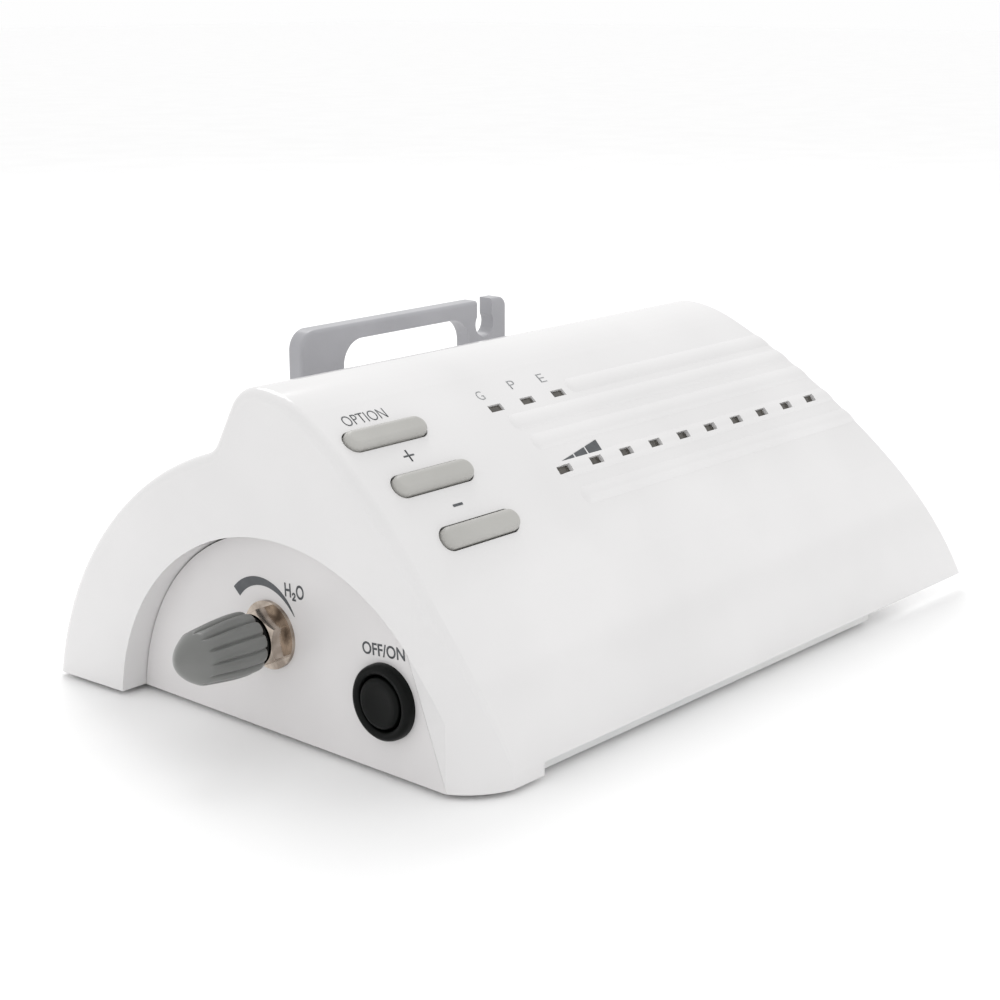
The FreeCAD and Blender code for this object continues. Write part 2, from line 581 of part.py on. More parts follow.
# ---------------------------------------------------------------- water valve
def valve_block():
    """Brass needle-valve body behind the side panel, with two hose tails."""
    x = PANEL_FACE_X
    neck = rod(x - WASHER_T - NUT_T - 0.3, KNOB_Y, KNOB_Z, NECK_R, WASHER_T + NUT_T + PANEL_T + 0.3, X_AXIS)
    body = box(x + PANEL_T + 0.6, KNOB_Y - 8, KNOB_Z - 8, x + PANEL_T + 24, KNOB_Y + 8, KNOB_Z + 8)
    collar = rod(x + PANEL_T, KNOB_Y, KNOB_Z, 7.0, 0.6, X_AXIS)
    inlet = rod(x + PANEL_T + 19, KNOB_Y + 7.5, KNOB_Z, TAIL_R, 9.5, Y_AXIS)
    outlet = rod(x + PANEL_T + 23.5, KNOB_Y, KNOB_Z, TAIL_R, 9.5, X_AXIS)
    block = fuse_all([neck, body, collar, inlet, outlet])
    bore = rod(x - 10, KNOB_Y, KNOB_Z, SPINDLE_R + 0.05, 10 + PANEL_T + 8, X_AXIS)
    chamber = rod(x + PANEL_T + 8, KNOB_Y, KNOB_Z, 3.6, 13.5, X_AXIS)
    return block.cut(bore).cut(chamber).cut(rod(x + PANEL_T + 21, KNOB_Y, KNOB_Z, 1.0, 14, X_AXIS))


def valve_spindle():
    x = PANEL_FACE_X
    start, end = KNOB_NOSE_X + KNOB_SOLID, x + PANEL_T + 11.5
    rod_out = rod(start, KNOB_Y, KNOB_Z, SPINDLE_R, end - start, X_AXIS)
    rod_out = rod_out.fuse(rod(end, KNOB_Y, KNOB_Z, 1.3, 4.6, X_AXIS)).removeSplitter()
    flat = box(KNOB_NOSE_X, KNOB_Y + 1.5, KNOB_Z - 5, KNOB_BASE_X + 1.0, KNOB_Y + 5, KNOB_Z + 5)
    return rod_out.cut(flat)


def valve_needle():
    x = PANEL_FACE_X + PANEL_T + 13.8
    outside = [(0, 0), (3.0, 0), (3.0, 3.6), (1.4, 4.2), (0.5, 6.8), (0, 6.8)]
    return turned(outside, x, KNOB_Y, KNOB_Z, X_AXIS).cut(rod(x - 1, KNOB_Y, KNOB_Z, 1.35, 4.2, X_AXIS))


def valve_o_ring():
    x = PANEL_FACE_X + PANEL_T + 10.6
    return Part.makeTorus(SPINDLE_R + 0.75, 0.7, V(x - 1.8, KNOB_Y, KNOB_Z), X_AXIS)


def water_knob():
    """Tapered cap, widest near its foot, closed by a broad rounded nose."""
    length = KNOB_BASE_X - KNOB_NOSE_X
    nose_start = length - KNOB_NOSE_R * 0.6
    profile = [(0, 0), (KNOB_BASE_R, 0), (KNOB_MID_R, 0.08 * length), (KNOB_MID_R, 0.3 * length)]
    profile.append((KNOB_NOSE_R, nose_start))
    for angle in (20, 40, 60, 75):
        turn = math.radians(angle)
        profile.append((KNOB_NOSE_R * math.cos(turn), nose_start + KNOB_NOSE_R * 0.6 * math.sin(turn)))
    profile.append((0, length))
    solid = turned(profile, KNOB_BASE_X, KNOB_Y, KNOB_Z, V(-1, 0, 0))
    bore = length - KNOB_SOLID
    return solid.cut(rod(KNOB_BASE_X - bore, KNOB_Y, KNOB_Z, SPINDLE_R + 0.04, bore + 1, X_AXIS))


def valve_nut():
    x = PANEL_FACE_X - WASHER_T
    nut = hexagon(x, KNOB_Y, KNOB_Z, NUT_AF, NUT_T, V(-1, 0, 0))
    profile = [(0, 0), (NUT_AF * 0.58, 0), (NUT_AF * 0.58, NUT_T - 1.0), (NUT_AF * 0.5, NUT_T), (0, NUT_T)]
    dome = turned(profile, x, KNOB_Y, KNOB_Z, V(-1, 0, 0))
    return nut.common(dome).cut(rod(x + 1, KNOB_Y, KNOB_Z, NECK_R + 0.1, 12, V(-1, 0, 0)))


def valve_washer():
    return ring(PANEL_FACE_X - WASHER_T, KNOB_Y, KNOB_Z, WASHER_R, NECK_R + 0.1, WASHER_T, X_AXIS)


def valve_gland():
    """Black packing ring round the spindle, between the nut and the knob."""
    x = PANEL_FACE_X - WASHER_T - NUT_T - 0.4
    return ring(KNOB_BASE_X + 0.4, KNOB_Y, KNOB_Z, 6.4, SPINDLE_R + 0.1, x - KNOB_BASE_X - 0.4, X_AXIS)


# ---------------------------------------------------------------- solenoid water valve
def solenoid_body():
    x, y, z = SOLENOID_X, SOLENOID_Y, SOLENOID_Z
    body = box(x - 9, y - 7, z, x + 9, y + 7, z + 12)
    tails = [rod(x + 8.5, y, z + 6, TAIL_R, 9, X_AXIS), rod(x - 8.5, y, z + 6, TAIL_R, 9, V(-1, 0, 0))]
    stack = rod(x, y, z + 11.5, 4.6, 20, Z_AXIS)
    bore = rod(x, y, z + 5, 3.55, 24, Z_AXIS)
    return fuse_all([body, stack] + tails).cut(bore)


def solenoid_coil():
    x, y, z = SOLENOID_X, SOLENOID_Y, SOLENOID_Z + 12.3
    return ring(x, y, z, 10.0, 4.8, 16.0).cut(box(x - 20, y + 8.5, z - 1, x + 20, y + 20, z + 30))


def solenoid_plunger():
    x, y, z = SOLENOID_X, SOLENOID_Y, SOLENOID_Z + 6
    return rod(x, y, z, 3.5, 13).cut(rod(x, y, z + 10, 2.4, 4))


def solenoid_spring():
    return coil_spring(SOLENOID_X, SOLENOID_Y, SOLENOID_Z + 16.7, 1.8, 0.25, 1.7, 7, Z_AXIS)


# ---------------------------------------------------------------- electronics
def main_board():
    board = box(20, 22, BOARD_TOP_Z - BOARD_T, 132, 87, BOARD_TOP_Z)
    for x, y in BOARD_HOLES:
        board = board.cut(rod(x, y, 10, 1.6, 6))
    return board


def standoffs():
    low = BASE_LOW_Z + BASE_T
    return group([ring(x, y, low, 3.0, 1.3, BOARD_TOP_Z - BOARD_T - low) for x, y in BOARD_HOLES])


def board_screws():
    return group([pan_screw(x, y, BOARD_TOP_Z, V(0, 0, -1), 1.25, 6, 2.7, 1.6) for x, y in BOARD_HOLES])


def capacitors():
    spots = ((62, 32, 5.0, 16), (76, 32, 5.0, 16), (92, 33, 6.3, 18), (38, 76, 4.0, 11), (49, 76, 4.0, 11))
    return group([rod(x, y, BOARD_TOP_Z, r, h) for x, y, r, h in spots])


def heat_sink():
    back = box(104, 46, BOARD_TOP_Z, 107, 74.5, 34)
    fins = [box(107, 46 + 4.5 * k, BOARD_TOP_Z, 117, 47.5 + 4.5 * k, 34) for k in range(7)]
    return fuse_all([back] + fins)


def power_transistors():
    return group([box(99.4, y, 16, 103.9, y + 10, 31) for y in (48, 62)])


def chips():
    return group([box(30, 40, BOARD_TOP_Z, 40, 50, 15.2), box(30, 56, BOARD_TOP_Z, 38, 62, 15.2),
                  box(48, 54, BOARD_TOP_Z, 60, 64, 15.4)])


def output_transformer_core():
    outer = box(66, 52, BOARD_TOP_Z, 90, 78, 33.6)
    return outer.cut(box(70, 40, 17.6, 76, 90, 29.6)).cut(box(80, 40, 17.6, 86, 90, 29.6))


def output_transformer_winding():
    block = box(70.3, 49, 17.9, 85.7, 81, 29.3)
    return block.cut(box(75.7, 51.7, 17.3, 80.3, 78.3, 29.9))


def mains_transformer_core():
    outer = box(28, 101, 3.7, 70, 129, 30)
    return outer.cut(box(35, 90, 10.5, 43, 140, 23.5)).cut(box(55, 90, 10.5, 63, 140, 23.5))


def mains_transformer_coil():
    block = box(35.3, 97.5, 10.8, 62.7, 132.5, 23.2)
    return block.cut(box(42.7, 100.7, 10.2, 55.3, 129.3, 23.8))


# ---------------------------------------------------------------- connectors on the right
def panel_nut(name, outer, inner, thick):
    y, z = SOCKETS[name]
    nut = hexagon(CONNECTOR_X - thick, y, z, outer * 2, thick, X_AXIS)
    return nut.cut(rod(CONNECTOR_X - thick - 1, y, z, inner, thick + 2, X_AXIS))


def water_inlet():
    y, z = SOCKETS["inlet"]
    x = CONNECTOR_X + PANEL_T
    flange = rod(x, y, z, 7.5, 2.0, X_AXIS)
    profile = [(0, 0), (SPIGOT_R, 0), (SPIGOT_R, 14), (SPIGOT_R - 0.7, 15), (0, 15)]
    barb = turned(profile, x + 1.5, y, z, X_AXIS)
    thread = rod(x - PANEL_T - 8, y, z, 5.0, 8.5 + PANEL_T, X_AXIS)
    tail = rod(x - PANEL_T - 16, y, z, TAIL_R, 8.5, X_AXIS)
    return fuse_all([flange, barb, thread, tail]).cut(rod(x - 30, y, z, 1.2, 60, X_AXIS))


def foot_socket():
    y, z = SOCKETS["foot"]
    x = CONNECTOR_X + PANEL_T
    barrel = rod(x - PANEL_T - 12, y, z, 6.0, 12.5 + PANEL_T, X_AXIS)
    shell = fuse_all([rod(x, y, z, 8.0, 2.0, X_AXIS), barrel])
    return shell.cut(rod(x - 8, y, z, 4.5, 12, X_AXIS))


def foot_socket_pins():
    y, z = SOCKETS["foot"]
    x = CONNECTOR_X + PANEL_T
    pins = [rod(x - 8, y + 2.4 * math.cos(a), z + 2.4 * math.sin(a), 0.5, 6.5, X_AXIS)
            for a in (math.radians(90), math.radians(210), math.radians(330))]
    return group(pins)


def mains_inlet():
    y, z = SOCKETS["mains"]
    x = CONNECTOR_X + PANEL_T
    frame = box(x, y - 15, z - 10.5, x + 2, y + 15, z + 10.5)
    body = box(x - PANEL_T - 16, y - 12, z - 8, x + 0.5, y + 12, z + 8)
    mouth = box(x - 14, y - 9, z - 5.5, x + 5, y + 9, z + 5.5)
    return frame.fuse(body).removeSplitter().cut(mouth)


def mains_pins():
    y, z = SOCKETS["mains"]
    x = CONNECTOR_X + PANEL_T
    return group([box(x - 14, y - 1 + dy, z - 2 + dz, x - 5, y + 1 + dy, z + 2 + dz)
                  for dy, dz in ((-5.5, -1.0), (0, 1.0), (5.5, -1.0))])


def handpiece_gland():
    y, z = SOCKETS["gland"]
    x = CONNECTOR_X + PANEL_T
    profile = [(0, 0), (9.0, 0), (9.0, 2.0), (6.0, 3.0), (4.4, 14.0), (4.0, 16.0), (0, 16.0)]
    outside = turned(profile, x, y, z, X_AXIS)
    thread = rod(x - PANEL_T - 8, y, z, 6.5, 8.5 + PANEL_T, X_AXIS)
    return outside.fuse(thread).removeSplitter().cut(rod(x - 20, y, z, 2.6, 60, X_AXIS))


# ---------------------------------------------------------------- inner hoses
def inlet_hose():
    """Straight hose from the water inlet's tail to the solenoid valve's right tail."""
    y, z = SOCKETS["inlet"]
    left = SOLENOID_X + 10.5
    return ring(left, y, z, HOSE_R, HOSE_BORE_R, CONNECTOR_X - 9.0 - left, X_AXIS)


def valve_hose():
    """From the solenoid valve's left tail, between the boards, to the needle valve's rear tail."""
    x, low = VALVE_BACK_X - 5, SOLENOID_Z + 6
    points = [V(SOLENOID_X - 10.5, SOLENOID_Y, low), V(98, SOLENOID_Y, low), V(82, 93, low),
              V(x, 93, KNOB_Z), V(x, KNOB_Y + 9.5, KNOB_Z)]
    return tube(points, HOSE_R, HOSE_BEND, HOSE_BORE_R)


def outlet_hose():
    """From the needle valve's right tail, over the main board, to the handpiece gland."""
    y, z = SOCKETS["gland"]
    points = [V(VALVE_BACK_X + 1.5, KNOB_Y, KNOB_Z), V(VALVE_BACK_X + 18, KNOB_Y, KNOB_Z),
              V(62, 60, 42), V(122, 46, 42), V(144, y, z), V(CONNECTOR_X - 8.5, y, z)]
    return tube(points, HOSE_R, HOSE_BEND, HOSE_BORE_R)


# ---------------------------------------------------------------- assembly
def build():
    block = outer_block()
    parts = {
        "top_cover": top_cover(block),
        "base_tray": base_tray(),
        "side_panel": side_panel(block),
        "connector_panel": connector_panel(),
        "rubber_feet": rubber_feet(),
        "base_screws": base_screws(),
        "handpiece_holder": handpiece_holder(),
        "holder_screws": holder_screws(),
        "power_switch_body": switch_bezel(),
        "power_switch_cap": switch_cap(),
        "power_switch_spring": coil_spring(PANEL_FACE_X + 4.75, SWITCH_Y, SWITCH_Z, 2.6, 0.3, 1.5, 7, X_AXIS),
        "power_switch_terminals": switch_terminals(),
        "valve_block": valve_block(),
        "valve_spindle": valve_spindle(),
        "valve_needle": valve_needle(),
        "valve_o_ring": valve_o_ring(),
        "valve_washer": valve_washer(),
        "valve_nut": valve_nut(),
        "valve_gland": valve_gland(),
        "water_knob": water_knob(),
        "tact_switch_bodies": tact_switch_bodies(),
        "level_light_pipes": light_pipes(LED_FIRST_X, LED_PITCH, LED_COUNT, LED_SLOPE),
        "mode_light_pipes": light_pipes(MODE_LED_FIRST_X, MODE_LED_PITCH, 3, MODE_LED_SLOPE),
        "level_leds": led_chips(LED_FIRST_X, LED_PITCH, LED_COUNT, LED_SLOPE),
        "mode_leds": led_chips(MODE_LED_FIRST_X, MODE_LED_PITCH, 3, MODE_LED_SLOPE),
        "display_board": display_plate(-1.6, 0.0, 24, 6, 184),
        "display_board_screws": group([on_panel(pan_screw(0, 0, -BOARD_GAP - 1.9, Z_AXIS, 0.95, 7, 2.0, 1.2),
                                                x, slope) for x, slope in POST_SPOTS]),
        "inlet_hose": inlet_hose(),
        "valve_hose": valve_hose(),
        "outlet_hose": outlet_hose(),
        "solenoid_body": solenoid_body(),
        "solenoid_coil": solenoid_coil(),
        "solenoid_plunger": solenoid_plunger(),
        "solenoid_spring": solenoid_spring(),
        "main_board": main_board(),
        "standoffs": standoffs(),
        "board_screws": board_screws(),
        "capacitors": capacitors(),
        "heat_sink": heat_sink(),
        "power_transistors": power_transistors(),
        "board_chips": chips(),
        "output_transformer_core": output_transformer_core(),
        "output_transformer_winding": output_transformer_winding(),
        "mains_transformer_core": mains_transformer_core(),
        "mains_transformer_coil": mains_transformer_coil(),
        "water_inlet": water_inlet(),
        "water_inlet_nut": panel_nut("inlet", 8.0, 5.0, 3.0),
        "foot_socket": foot_socket(),
        "foot_socket_nut": panel_nut("foot", 9.0, 6.0, 3.0),
        "foot_socket_pins": foot_socket_pins(),
        "mains_inlet": mains_inlet(),
        "mains_pins": mains_pins(),
        "handpiece_gland": handpiece_gland(),
        "handpiece_gland_nut": panel_nut("gland", 9.5, 6.5, 3.0),
    }
    for name, x, slope in KEYS:
        parts[name + "_key"] = on_panel(key_cap(), x, slope)
        parts[name + "_plunger"] = on_panel(tact_plunger(), x, slope)
    return parts


def centre_and_export(parts):
    """Put the origin at the middle of the footprint, on the table, and write one STEP per part."""
    whole = Part.makeCompound(list(parts.values())).optimalBoundingBox(False, False)
    shift = V(-whole.Center.x, -whole.Center.y, -whole.ZMin)
    print("bench to row shift", shift, "size", whole.XLength, whole.YLength, whole.ZLength)
    for name, shape in parts.items():
        moved = shape.copy()
        moved.translate(shift)
        moved.exportStep("parts/" + name + ".step")
    return shift


if __name__ == "__main__":
    made = build()
    for name, shape in made.items():
        print(name, shape.isValid(), len(shape.Solids), round(shape.Volume, 1))
    centre_and_export(made)
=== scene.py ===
# %% [markdown]
# # A desktop ultrasound therapy console
#
# The console is a low, wedge-shaped instrument. A glossy white moulded cover carries three keys and two
# rows of small lights, a side panel carries the power switch and the water valve, and a grey holder for
# the handpiece stands behind the crest. This first cell loads the measured model as a fixed frame. Its
# parts keep their shapes. They get their finishes here, and some get a more finely modelled copy.

# %% Load the frame
import math

import bmesh
import bpy
from mathutils import Matrix, Vector


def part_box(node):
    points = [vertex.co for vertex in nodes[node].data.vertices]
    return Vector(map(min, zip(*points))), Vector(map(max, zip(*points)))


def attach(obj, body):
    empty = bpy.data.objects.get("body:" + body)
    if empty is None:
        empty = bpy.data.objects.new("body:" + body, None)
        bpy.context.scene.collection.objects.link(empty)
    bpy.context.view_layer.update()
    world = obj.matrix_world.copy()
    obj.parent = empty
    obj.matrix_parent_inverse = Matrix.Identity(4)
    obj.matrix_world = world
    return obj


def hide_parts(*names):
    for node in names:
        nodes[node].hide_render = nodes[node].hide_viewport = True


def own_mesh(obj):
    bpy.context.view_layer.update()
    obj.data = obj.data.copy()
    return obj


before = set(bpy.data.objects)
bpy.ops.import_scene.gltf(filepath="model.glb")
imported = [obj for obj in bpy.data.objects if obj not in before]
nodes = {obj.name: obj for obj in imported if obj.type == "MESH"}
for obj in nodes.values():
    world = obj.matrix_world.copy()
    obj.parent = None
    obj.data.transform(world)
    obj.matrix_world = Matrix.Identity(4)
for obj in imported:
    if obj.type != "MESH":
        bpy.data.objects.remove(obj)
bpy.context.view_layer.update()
bpy.ops.object.select_all(action="DESELECT")

# %% [markdown]
# Sizes are easier to read in millimetres, so a small helper turns millimetres into metres. The key panel
# is part of a long cylinder, and everything on it sits at a distance along X and at a slope from level.
# The slope's direction gives both the place on the curve and the way that the surface faces there.

# %% Units and the panel's curve
MM = 0.001
SHIFT = Vector((-95.596, -71.900, 0.0))
CREST_CENTRE = Vector((0.0, 66.0, 64.6))
PANEL_R = 134.0


def outward(slope):
    """The way the panel faces where it slopes this many degrees from level."""
    angle = math.radians(slope)
    return Vector((0.0, -math.sin(angle), math.cos(angle)))


PANEL_CENTRE = CREST_CENTRE + outward(33.0) * (28.0 - PANEL_R)


def place(point):
    """A point of the console's own layout, in millimetres, as metres in the frame."""
    return (Vector(point) + SHIFT) * MM


def panel_place(x, slope, lift=0.0):
    """The matrix that lays a flat millimetre shape on the curved panel."""
    spot = PANEL_CENTRE + outward(slope) * (PANEL_R + lift) + Vector((x, 0.0, 0.0))
    turn = Matrix.Rotation(math.radians(slope), 4, "X")
    return Matrix.Translation(place(spot)) @ turn @ Matrix.Scale(MM, 4)


print("panel axis at", [round(v, 4) for v in place(PANEL_CENTRE)])

# %% [markdown]
# The camera stands in front of the left corner, a little above the console, and looks slightly down. A
# lens of about 69 mm on a 36 mm wide sensor gives the gentle perspective of a catalogue picture.

# %% Camera
camera_data = bpy.data.cameras.new("camera")
camera_data.lens = 68.9
camera_data.sensor_width = 36.0
camera = bpy.data.objects.new("camera", camera_data)
camera.location = place((-311.4, -281.3, 187.6))
camera.rotation_euler = (math.radians(74.91), 0.0, math.radians(-48.56))
bpy.context.scene.collection.objects.link(camera)
bpy.context.scene.camera = camera
print("camera at", [round(v, 3) for v in camera.location])

# %% [markdown]
# The set is a pale floor that runs out of view and a bright, even surround, which gives nearly all of the
# light. One soft light stands above and behind the console, so that the low bands on the panel are shaded
# on their near sides, and a weaker one stands to the right.

# %% Floor, surround and lights
FLOOR_SIZE = 14.0
SURROUND_STRENGTH = 0.99
AIM = (0.0, 0.0, 0.05)

bpy.ops.mesh.primitive_plane_add(size=FLOOR_SIZE, location=(0.0, 0.0, 0.0))
floor = bpy.context.object
floor.name = "floor"

world = bpy.data.worlds.new("surround")
bpy.context.scene.world = world
world.use_nodes = True
background = world.node_tree.nodes["Background"]
background.inputs["Color"].default_value = (1.0, 1.0, 1.0, 1.0)
background.inputs["Strength"].default_value = SURROUND_STRENGTH
bpy.context.scene.view_settings.view_transform = "Standard"


def soft_light(name, location, size, watts):
    """A square light that points at the middle of the console."""
    bpy.ops.object.light_add(type="AREA", location=location)
    lamp = bpy.context.object
    lamp.name = name
    lamp.data.size = size
    lamp.data.energy = watts
    lamp.rotation_euler = (Vector(AIM) - Vector(location)).to_track_quat("-Z", "Y").to_euler()


soft_light("overhead_light", (0.35, 0.55, 0.9), 0.5, 3.0)
soft_light("right_light", (1.1, -0.9, 0.5), 0.6, 0.5)

# %% [markdown]
# Every finish below is a small graph of nodes. Colours are written as the hex values that a colour chart
# gives, and one function turns them into the linear values that the shader works in. A second function
# adds one node with its settings and its links, so each graph reads as a list of what it is made of.

# %% Helpers for materials
def linear(hex_colour):
    """An sRGB hex colour as linear RGBA."""
    values = []
    for start in (1, 3, 5):
        share = int(hex_colour[start:start + 2], 16) / 255.0
        values.append(share / 12.92 if share <= 0.04045 else ((share + 0.055) / 1.055) ** 2.4)
    return (*values, 1.0)


def add_node(material, kind, settings=None, values=None, links=None):
    """Add a node, set its own settings, give its sockets their values and link its inputs."""
    node = material.node_tree.nodes.new(kind)
    for key, value in (settings or {}).items():
        setattr(node, key, value)
    for key, value in (values or {}).items():
        node.inputs[key].default_value = value
    for key, source in (links or {}).items():
        material.node_tree.links.new(source, node.inputs[key])
    return node


def new_material(name):
    """An empty material with its output node."""
    material = bpy.data.materials.new(name)
    material.use_nodes = True
    material.node_tree.nodes.clear()
    return material, add_node(material, "ShaderNodeOutputMaterial")


def per_metre(size_mm):
    """The scale of a noise pattern whose grains are this many millimetres across."""
    return 1000.0 / size_mm


def finish_surface(material, output, shader_values, colour_pair, patch_mm, grain_mm, grain_depth_mm):
    """Colour that wanders between two close tones, and a fine relief, both in real sizes."""
    spot = add_node(material, "ShaderNodeTexCoord").outputs["Object"]
    patches = add_node(material, "ShaderNodeTexNoise", None,
                       {"Scale": per_metre(patch_mm), "Detail": 2.0}, {"Vector": spot})
    tones = add_node(material, "ShaderNodeValToRGB", None, None, {"Fac": patches.outputs["Fac"]})
    tones.color_ramp.elements[0].position = 0.35
    tones.color_ramp.elements[1].position = 0.65
    tones.color_ramp.elements[0].color = linear(colour_pair[0])
    tones.color_ramp.elements[1].color = linear(colour_pair[1])
    grain = add_node(material, "ShaderNodeTexNoise", None,
                     {"Scale": per_metre(grain_mm), "Detail": 3.0}, {"Vector": spot})
    relief = add_node(material, "ShaderNodeBump", None,
                      {"Strength": 0.5, "Distance": grain_depth_mm * MM}, {"Height": grain.outputs["Fac"]})
    shader = add_node(material, "ShaderNodeBsdfPrincipled", None, shader_values,
                      {"Base Color": tones.outputs["Color"], "Normal": relief.outputs["Normal"]})
    material.node_tree.links.new(shader.outputs["BSDF"], output.inputs["Surface"])
    return shader


print("linear value of #808080 is", round(linear("#808080")[0], 4))

# %% [markdown]
# ## Moulded plastics
# Most of the console is moulded ABS. The cover comes from a polished mould, so it is glossy, with a very
# slight waviness. The keys, the holder and the knob come from moulds with a spark-eroded grain, which
# scatters the light and gives a satin surface. ABS has an IOR near 1.53. A real spark-eroded grain is
# about 0.1 mm across. It is drawn a few times coarser here, so that it can be seen at all.

# %% Plastics
finishes = {}


def moulded(slot, name, colours, roughness, grain_mm, grain_depth_mm, patch_mm=18.0, ior=1.53, shine=0.5):
    """A moulded plastic for one slot of the record."""
    material, output = new_material(name)
    finish_surface(material, output, {"Roughness": roughness, "IOR": ior, "Specular IOR Level": shine},
                   colours, patch_mm, grain_mm, grain_depth_mm)
    finishes[slot] = material


moulded("white_cover", "polished_white_abs", ("#e0dfdf", "#e4e3e3"), 0.16, 3.0, 0.008, 40.0)
moulded("white_panel", "satin_white_abs", ("#dbd9d9", "#dfdddd"), 0.34, 1.2, 0.012, 30.0)
moulded("white_base", "moulded_white_abs", ("#dedfdf", "#e4e4e3"), 0.40, 0.8, 0.02, 30.0)
moulded("grey_holder", "satin_grey_abs", ("#a3a3a7", "#a9a9ad"), 0.32, 0.5, 0.02)
moulded("grey_key", "spark_eroded_grey_abs", ("#b0afab", "#b5b4b0"), 0.42, 0.35, 0.02)
moulded("grey_knob", "satin_grey_nylon", ("#6c6d6b", "#767775"), 0.30, 0.4, 0.02)
moulded("black_nylon", "moulded_black_nylon", ("#030504", "#070908"), 0.42, 0.4, 0.015, 18.0, 1.53, 0.12)
moulded("black_rubber", "soft_black_rubber", ("#161616", "#232323"), 0.75, 0.6, 0.05, 6.0, 1.52)
moulded("black_epoxy", "black_epoxy_moulding", ("#161618", "#1d1d20"), 0.55, 0.3, 0.02, 4.0, 1.55)
moulded("ferrite", "sintered_ferrite", ("#2f3134", "#3a3c3f"), 0.6, 0.25, 0.03, 3.0, 2.2)
moulded("black_sleeve", "polyolefin_sleeve", ("#131313", "#1c1c1c"), 0.45, 0.9, 0.03, 5.0, 1.5)
moulded("coil_tape", "polyester_winding_tape", ("#b9882c", "#c99a3e"), 0.28, 1.0, 0.03, 5.0, 1.6)
moulded("green_laminate", "solder_masked_glass_laminate", ("#1b5a38", "#226844"), 0.28, 0.6, 0.02, 3.0, 1.5)
moulded("led_body", "clear_epoxy_lens", ("#d9d6cc", "#e6e3da"), 0.15, 0.8, 0.01, 2.0, 1.54)
moulded("smoked_lens", "smoked_acrylic", ("#4a4742", "#57534d"), 0.10, 1.5, 0.004, 2.0, 1.49)
moulded("clear_hose", "milky_silicone_hose", ("#d5d8d4", "#e2e4e0"), 0.35, 0.9, 0.02, 6.0, 1.41)
print(len(finishes), "plastics")

# %% [markdown]
# ## Metals
# The valve nut and washer are turned brass with bright nickel plating, which has a faint warm tone. The
# screws are zinc plated. Turning and rolling leave fine marks, drawn here as a stretched noise, and
# they change the roughness slightly, which is what makes plated metal look real.

# %% Metals
def plated(slot, name, colours, roughness, mark_mm, stretch):
    """A metal with fine tool marks that change its roughness."""
    material, output = new_material(name)
    shader = finish_surface(material, output, {"Metallic": 1.0, "Roughness": roughness},
                            colours, 4.0, 0.5, 0.006)
    spot = add_node(material, "ShaderNodeTexCoord").outputs["Object"]
    along = add_node(material, "ShaderNodeMapping", None, {"Scale": stretch}, {"Vector": spot})
    marks = add_node(material, "ShaderNodeTexNoise", None,
                     {"Scale": per_metre(mark_mm), "Detail": 4.0}, {"Vector": along.outputs["Vector"]})
    spread = add_node(material, "ShaderNodeMapRange", None,
                      {"From Min": 0.3, "From Max": 0.7,
                       "To Min": roughness * 0.75, "To Max": roughness * 1.35},
                      {"Value": marks.outputs["Fac"]})
    material.node_tree.links.new(spread.outputs["Result"], shader.inputs["Roughness"])
    finishes[slot] = material


# The nickel's colour wanders between a dark and a light tone in 4 mm patches: painted reflections that give
# its facets contrast, not a tint of the plating itself.
plated("nickel", "nickel_plate_painted_reflections", ("#8b8076", "#c4b8ac"), 0.14, 1.2, (6.0, 1.0, 1.0))
plated("zinc_steel", "zinc_plated_steel", ("#b8bbbf", "#c6c9cc"), 0.3, 1.0, (1.0, 1.0, 5.0))
plated("spring_steel", "drawn_spring_steel", ("#8f9194", "#a0a2a5"), 0.28, 0.8, (4.0, 1.0, 1.0))
plated("brass", "turned_brass", ("#c7a052", "#d4b064"), 0.22, 0.8, (6.0, 1.0, 1.0))
plated("black_aluminium", "black_anodised_aluminium", ("#1d1e20", "#27292b"), 0.4, 1.0, (1.0, 1.0, 4.0))
plated("core_steel", "laminated_core_steel", ("#5f5d5a", "#73706c"), 0.45, 0.5, (1.0, 1.0, 12.0))
print(len(finishes), "finishes in all")

# %% [markdown]
# Each measured part already carries the name of its slot. Its object's material slots are pointed at the
# finish for that slot, and its mesh isn't touched.

# %% Put the finishes on the measured parts
for part in nodes.values():
    for material_slot in part.material_slots:
        slot_name = material_slot.material.name.split(".")[0]
        material_slot.link = "OBJECT"
        material_slot.material = finishes[slot_name]
print("finishes on", len(nodes), "parts")

# %% [markdown]
# The floor is a smooth pale sheet of card. It has a barely visible tooth.

# %% Floor card
card, card_output = new_material("pale_card")
finish_surface(card, card_output, {"Roughness": 0.8, "IOR": 1.45}, ("#fdfdfd", "#ffffff"), 60.0, 1.0, 0.02)
floor.data.materials.append(card)
print("floor", floor.data.materials[0].name)

# %% [markdown]
# ## The water knob
# The knob is a moulded cap with twelve convex lobes that end at a smooth domed nose. It starts as a circle
# round X, which is extruded and scaled ring by ring to give the taper. Its open end gets a thick wall. Then
# the points between two crests are pulled in towards the axis to make the narrow grooves, and a subdivision
# surface rounds the whole.

# %% Helpers for modelling
def new_piece(name, body, slot_name, replaced=()):
    """Bake the active object's place into its mesh and hook the piece to its body."""
    piece = bpy.context.object
    piece.name = name
    piece.data.name = name
    bpy.ops.object.transform_apply(location=True, rotation=True, scale=True)
    piece.data.materials.clear()
    piece.data.materials.append(finishes[slot_name])
    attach(piece, body)
    if replaced:
        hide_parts(*replaced)
    bpy.ops.object.select_all(action="DESELECT")
    return piece


def apply_modifier(kind, **settings):
    """Add a modifier to the active object, set it and apply it."""
    piece = bpy.context.object
    modifier = piece.modifiers.new(kind.lower(), kind)
    for key, value in settings.items():
        setattr(modifier, key, value)
    bpy.ops.object.modifier_apply(modifier=modifier.name)


